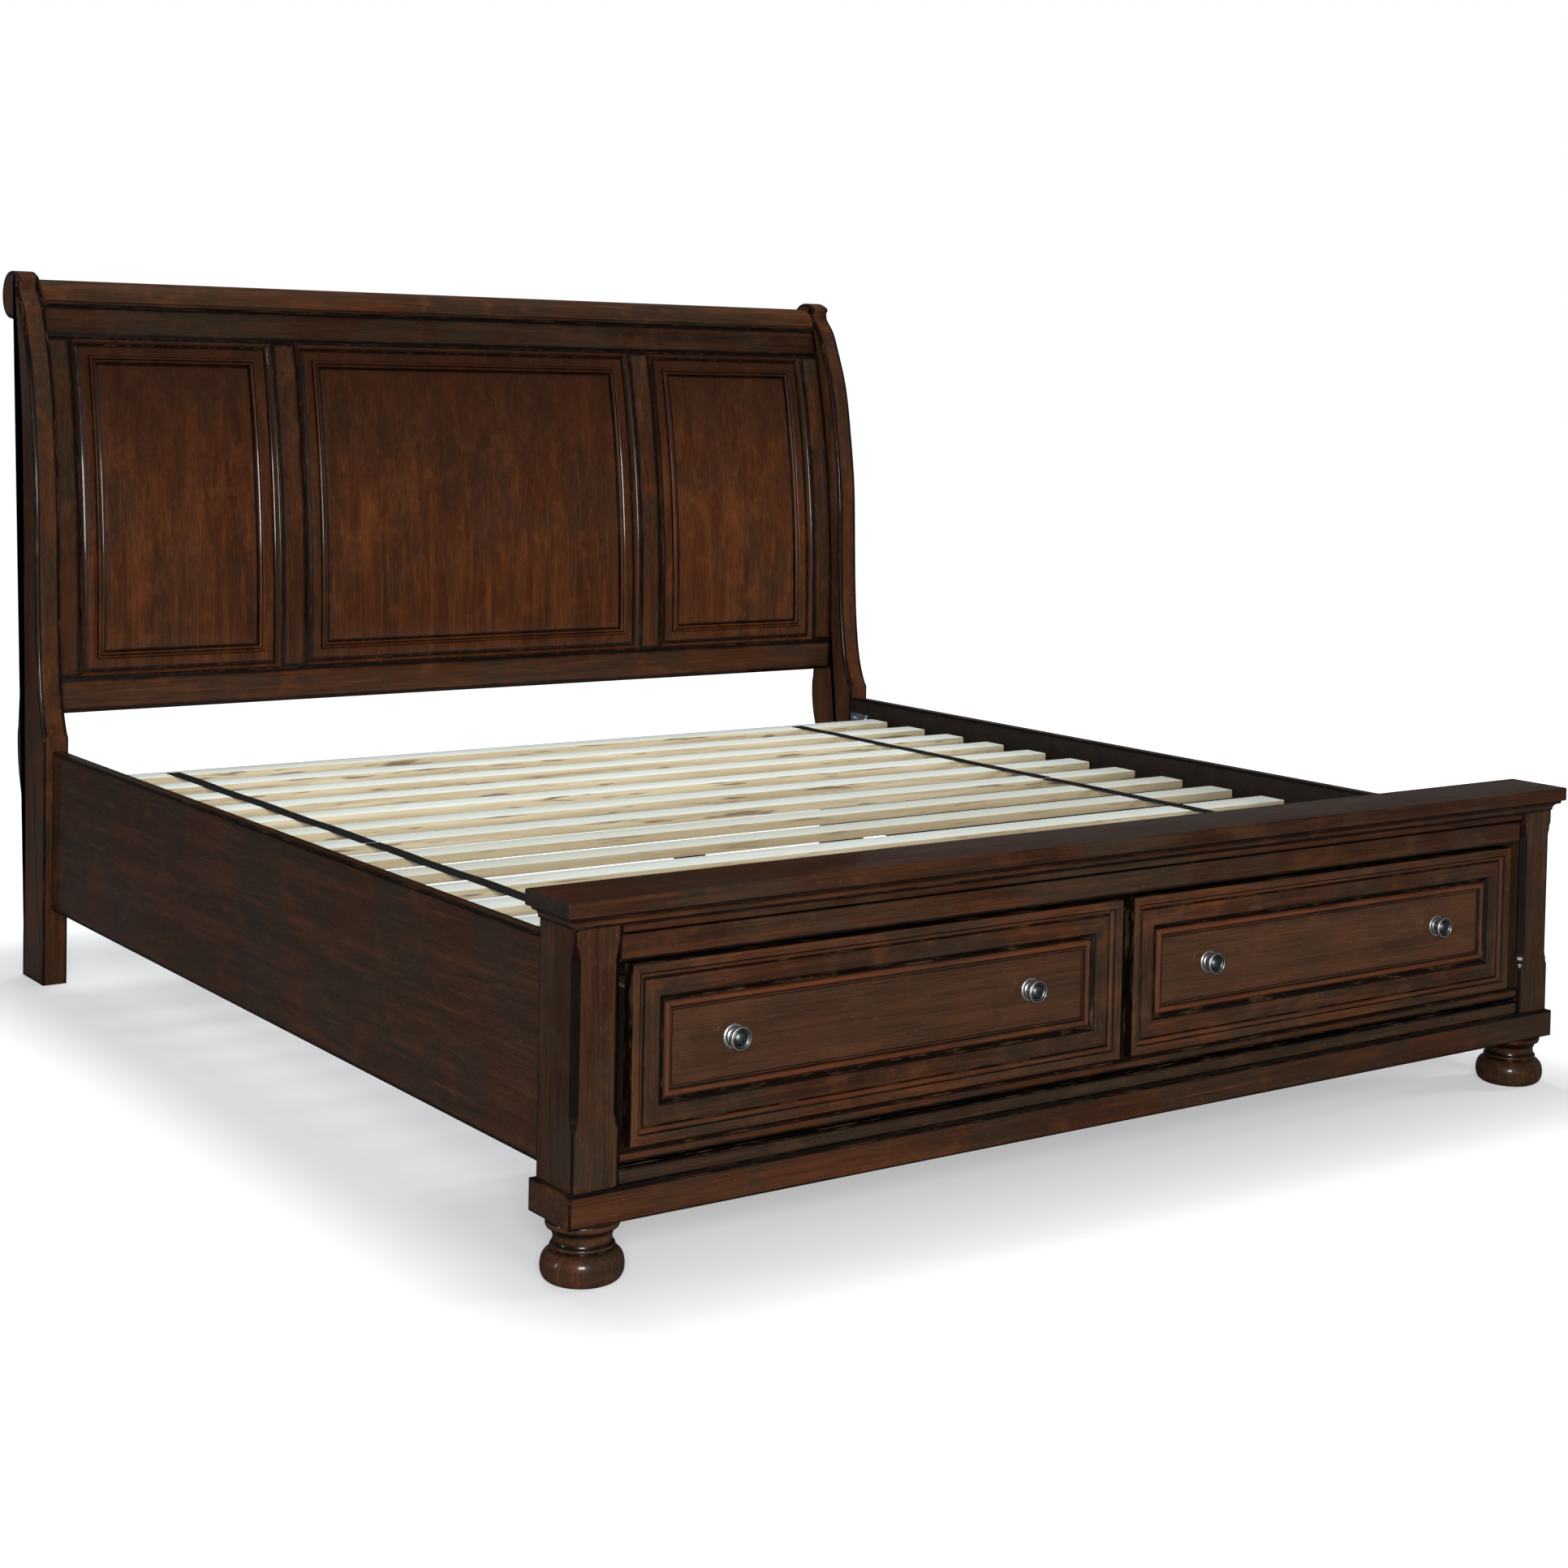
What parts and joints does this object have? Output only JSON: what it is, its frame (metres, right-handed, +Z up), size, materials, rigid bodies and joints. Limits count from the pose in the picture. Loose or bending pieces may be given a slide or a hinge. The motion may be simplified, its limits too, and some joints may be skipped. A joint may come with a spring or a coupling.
{
  "type": "sleigh bed with footboard drawers",
  "caption": "King-size wooden sleigh bed with a panelled scroll headboard, deep side rails, a slatted deck and a low footboard holding drawers.",
  "frame": {"origin": "centre of the bed's footprint, on the floor", "axes": "+X from the left side rail to the right one as seen from the footboard, +Y from the footboard to the headboard, +Z up"},
  "size_m": [2.102, 2.4484, 1.466],
  "materials": {
    "dark_cherry_wood": "satin",
    "stained_frame_wood": "matte",
    "drawer_box_wood": "satin",
    "pine_slat": "matte",
    "black_webbing": "matte",
    "dark_pewter": "satin",
    "zinc_steel": "satin",
    "runner_steel": "satin"
  },
  "bodies": {
    "bed": {"bay_back": "stained_frame_wood", "bay_divider": "stained_frame_wood", "bay_side_left": "stained_frame_wood", "bay_side_right": "stained_frame_wood", "bun_foot_left": "dark_cherry_wood", "bun_foot_right": "dark_cherry_wood", "cleat_gussets": "zinc_steel", "drawer_fixed_runners": "runner_steel", "foot_post_left": "dark_cherry_wood", "foot_post_right": "dark_cherry_wood", "foot_screws": "zinc_steel", "footboard_back_rail": "stained_frame_wood", "footboard_bottom_rail": "dark_cherry_wood", "footboard_cap": "dark_cherry_wood", "footboard_cove_board": "dark_cherry_wood", "footboard_strip": "dark_cherry_wood", "footboard_top_rail": "dark_cherry_wood", "head_post_left": "dark_cherry_wood", "head_post_right": "dark_cherry_wood", "headboard_bottom_rail": "dark_cherry_wood", "headboard_end_stile_left": "dark_cherry_wood", "headboard_end_stile_right": "dark_cherry_wood", "headboard_mid_stile_left": "dark_cherry_wood", "headboard_mid_stile_right": "dark_cherry_wood", "headboard_panel_centre": "dark_cherry_wood", "headboard_panel_left": "dark_cherry_wood", "headboard_panel_right": "dark_cherry_wood", "headboard_roll": "dark_cherry_wood", "headboard_top_rail": "dark_cherry_wood", "plinth_block_left": "dark_cherry_wood", "plinth_block_right": "dark_cherry_wood", "plinth_front": "dark_cherry_wood", "rail_bolts": "zinc_steel", "rail_hook_plates": "zinc_steel", "side_rail_left": "dark_cherry_wood", "side_rail_right": "dark_cherry_wood", "slat_cleat_left": "stained_frame_wood", "slat_cleat_right": "stained_frame_wood", "slats_foot_roll": "pine_slat", "slats_head_roll": "pine_slat", "straps_foot_roll": "black_webbing", "straps_head_roll": "black_webbing", "support_legs": "stained_frame_wood"},
    "left_drawer": {"left_drawer_back": "drawer_box_wood", "left_drawer_back_plates": "dark_pewter", "left_drawer_bottom": "drawer_box_wood", "left_drawer_front": "dark_cherry_wood", "left_drawer_knobs": "dark_pewter", "left_drawer_panel": "dark_cherry_wood", "left_drawer_runners": "runner_steel", "left_drawer_sides": "drawer_box_wood"},
    "right_drawer": {"right_drawer_back": "drawer_box_wood", "right_drawer_back_plates": "dark_pewter", "right_drawer_bottom": "drawer_box_wood", "right_drawer_front": "dark_cherry_wood", "right_drawer_knobs": "dark_pewter", "right_drawer_panel": "dark_cherry_wood", "right_drawer_runners": "runner_steel", "right_drawer_sides": "drawer_box_wood"}
  },
  "joints": [
    {"name": "left_drawer_slide", "type": "slide", "parent": "bed", "child": "left_drawer", "axis": [0, -1, 0], "range_m": [0, 0.36]},
    {"name": "right_drawer_slide", "type": "slide", "parent": "bed", "child": "right_drawer", "axis": [0, -1, 0], "range_m": [0, 0.36]}
  ]
}
